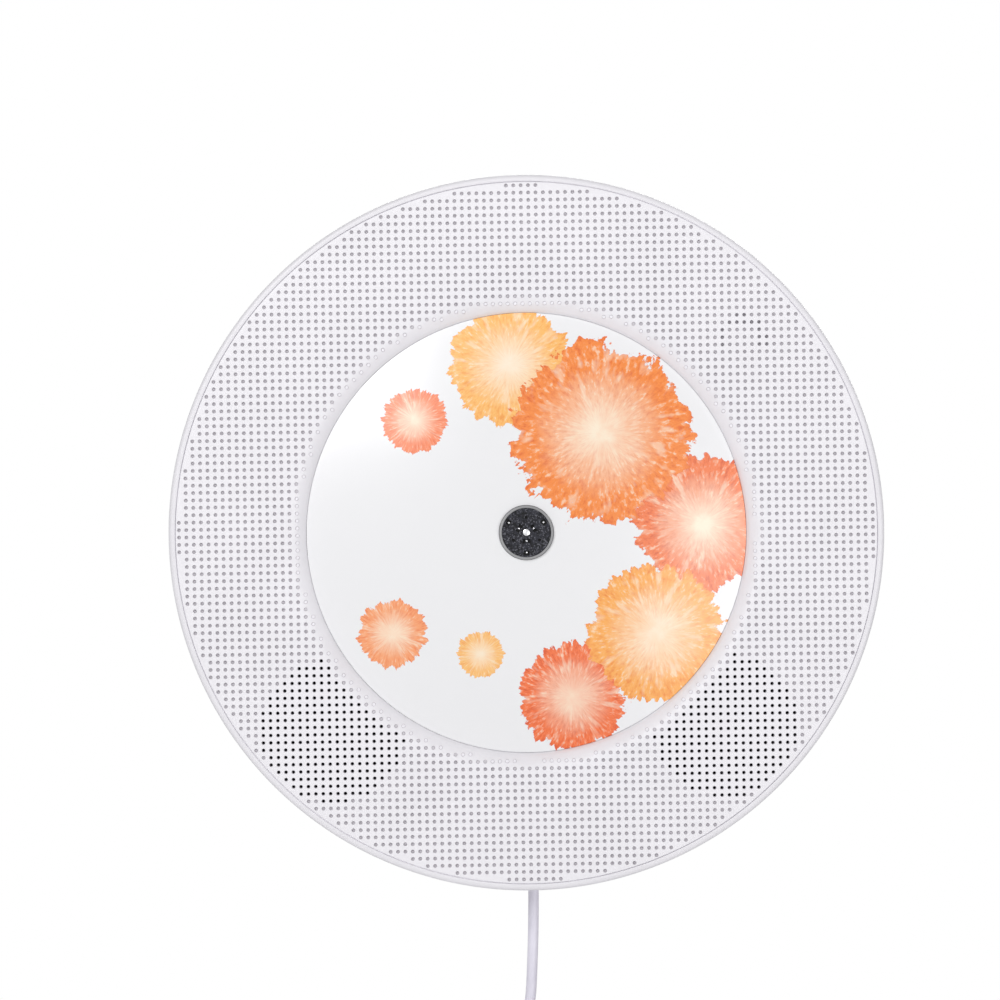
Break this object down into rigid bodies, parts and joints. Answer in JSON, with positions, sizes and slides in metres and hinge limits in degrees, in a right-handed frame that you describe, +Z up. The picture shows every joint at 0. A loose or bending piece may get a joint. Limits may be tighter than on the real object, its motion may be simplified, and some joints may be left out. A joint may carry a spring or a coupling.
{
  "type": "wall mounted disc player",
  "caption": "Round wall mounted disc player: perforated front with a central disc well and claw hub, speakers, hook-on wall bracket and a pull lead.",
  "frame": {"origin": "on the wall plane, at the middle of the bracket's back face, on the disc's axis", "axes": "+Z up, +X to the right as the player is looked at, +Y into the wall; the front faces -Y"},
  "size_m": [0.195, 0.042, 0.3133],
  "materials": {
    "panel_white": "satin moulded plastic, faintly lavender white",
    "shell_white": "satin moulded plastic, faintly lavender white",
    "deck_white": "fine matt moulded plastic",
    "disc_print": "polycarbonate with a printed face",
    "hub_grey": "moulded grey plastic",
    "hub_black": "speckled black plastic",
    "steel": "ground steel",
    "zinc_plate": "zinc plated sheet",
    "motor_can": "plated can",
    "black_plastic": "moulded black plastic",
    "gear_white": "acetal",
    "lens_glass": "coated lens",
    "board_green": "solder mask",
    "chip_black": "moulded packages",
    "rubber_black": "soft rubber",
    "rubber_pad": "soft translucent rubber",
    "cone_paper": "pressed paper cone",
    "ferrite": "sintered ferrite",
    "button_white": "satin moulded plastic",
    "sensor_dark": "dark filter resin",
    "lead_white": "smooth white PVC sheath",
    "plug_white": "white PVC overmould",
    "tie_white": "soft white tie",
    "spring_steel": "bright spring wire"
  },
  "bodies": {
    "bracket": {"wall_bracket": "zinc_plate"},
    "spindle": {"spindle_shaft": "steel", "spindle_hub": "hub_grey", "hub_cap": "hub_black"},
    "claw_1": {"hub_claw_1": "gear_white"},
    "claw_2": {"hub_claw_2": "gear_white"},
    "claw_3": {"hub_claw_3": "gear_white"},
    "loaded_disc": {"disc": "disc_print"},
    "sled": {"pickup_sled": "black_plastic"},
    "lens": {"lens_holder": "black_plastic", "objective_lens": "lens_glass"},
    "drive": {"drive_gear": "gear_white"},
    "pinion": {"motor_pinion": "gear_white"},
    "left_cone": {"left_speaker_cone": "cone_paper"},
    "right_cone": {"right_speaker_cone": "cone_paper"},
    "power_key": {"power_button": "button_white"},
    "source_key": {"source_button": "button_white"},
    "back_key": {"back_button": "button_white"},
    "play_key": {"play_button": "button_white"},
    "next_key": {"next_button": "button_white"},
    "pull": {"pull_slider": "plug_white", "power_cord": "lead_white", "cord_coil": "lead_white", "cord_tie": "tie_white", "cord_tail": "lead_white", "plug_body": "plug_white", "plug_shell": "steel"},
    "housing": {"board_parts": "chip_black", "button_board": "board_green", "cord_guide": "plug_white", "damper_bushes": "rubber_black", "damper_screws": "steel", "deck_plate": "deck_white", "front_panel": "panel_white", "guide_rods": "steel", "headphone_jack": "black_plastic", "housing_screws": "steel", "infrared_receiver": "sensor_dark", "left_speaker_frame": "black_plastic", "main_board": "board_green", "mechanism_chassis": "black_plastic", "pull_spring": "spring_steel", "pull_switch": "black_plastic", "rear_housing": "shell_white", "right_speaker_frame": "black_plastic", "sensor_board": "board_green", "side_band": "shell_white", "sled_motor": "motor_can", "speaker_magnets": "ferrite", "spindle_motor": "motor_can", "tact_switches": "chip_black", "wall_pads": "rubber_pad"}
  },
  "joints": [
    {"name": "housing_lift", "type": "slide", "parent": "bracket", "child": "housing", "axis": [0, 0, 1], "range_m": [0, 0.0075]},
    {"name": "spindle_spin", "type": "hinge", "parent": "housing", "child": "spindle", "pos_m": [0, -0.03, 0], "axis": [0, -1, 0], "continuous": true},
    {"name": "disc_lift", "type": "slide", "parent": "spindle", "child": "loaded_disc", "axis": [0, -1, 0], "range_m": [0, 0.025]},
    {"name": "sled_travel", "type": "slide", "parent": "housing", "child": "sled", "axis": [-1, 0, 0], "range_m": [0, 0.0335]},
    {"name": "lens_focus", "type": "slide", "parent": "sled", "child": "lens", "axis": [0, -1, 0], "range_m": [-0.0004, 0.0004], "stiffness_N_per_m": 40},
    {"name": "drive_spin", "type": "hinge", "parent": "housing", "child": "drive", "pos_m": [-0.03, -0.02, -0.027], "axis": [0, -1, 0], "range_deg": [-1, 641]},
    {"name": "pinion_spin", "type": "hinge", "parent": "housing", "child": "pinion", "pos_m": [-0.0186, -0.02, -0.027], "axis": [0, -1, 0], "range_deg": [-2401, 1]},
    {"name": "left_cone_travel", "type": "slide", "parent": "housing", "child": "left_cone", "axis": [0, -1, 0], "range_m": [-0.0008, 0.0008], "stiffness_N_per_m": 800},
    {"name": "right_cone_travel", "type": "slide", "parent": "housing", "child": "right_cone", "axis": [0, -1, 0], "range_m": [-0.0008, 0.0008], "stiffness_N_per_m": 800},
    {"name": "cord_pull", "type": "slide", "parent": "housing", "child": "pull", "axis": [0, 0, -1], "range_m": [0, 0.005], "stiffness_N_per_m": 350, "springref_m": -0.004, "deforming": ["pull_spring"]},
    {"name": "claw_1_press", "type": "slide", "parent": "spindle", "child": "claw_1", "axis": [-0.866, 0, -0.5], "range_m": [0, 0.0005], "stiffness_N_per_m": 300, "springref_m": -0.0006},
    {"name": "claw_2_press", "type": "slide", "parent": "spindle", "child": "claw_2", "axis": [0.866, 0, -0.5], "range_m": [0, 0.0005], "stiffness_N_per_m": 300, "springref_m": -0.0006},
    {"name": "claw_3_press", "type": "slide", "parent": "spindle", "child": "claw_3", "axis": [0, 0, 1], "range_m": [0, 0.0005], "stiffness_N_per_m": 300, "springref_m": -0.0006},
    {"name": "power_press", "type": "slide", "parent": "housing", "child": "power_key", "axis": [0, 0, -1], "range_m": [0, 0.0005], "stiffness_N_per_m": 900, "springref_m": -0.0004},
    {"name": "source_press", "type": "slide", "parent": "housing", "child": "source_key", "axis": [0, 0, -1], "range_m": [0, 0.0005], "stiffness_N_per_m": 900, "springref_m": -0.0004},
    {"name": "back_press", "type": "slide", "parent": "housing", "child": "back_key", "axis": [0, 0, -1], "range_m": [0, 0.0005], "stiffness_N_per_m": 900, "springref_m": -0.0004},
    {"name": "play_press", "type": "slide", "parent": "housing", "child": "play_key", "axis": [0, 0, -1], "range_m": [0, 0.0005], "stiffness_N_per_m": 900, "springref_m": -0.0004},
    {"name": "next_press", "type": "slide", "parent": "housing", "child": "next_key", "axis": [0, 0, -1], "range_m": [0, 0.0005], "stiffness_N_per_m": 900, "springref_m": -0.0004}
  ],
  "couplings": [
    {"joint": "drive_spin", "follows": "sled_travel", "rad_per_m": 333.33},
    {"joint": "pinion_spin", "follows": "sled_travel", "rad_per_m": -1250}
  ]
}
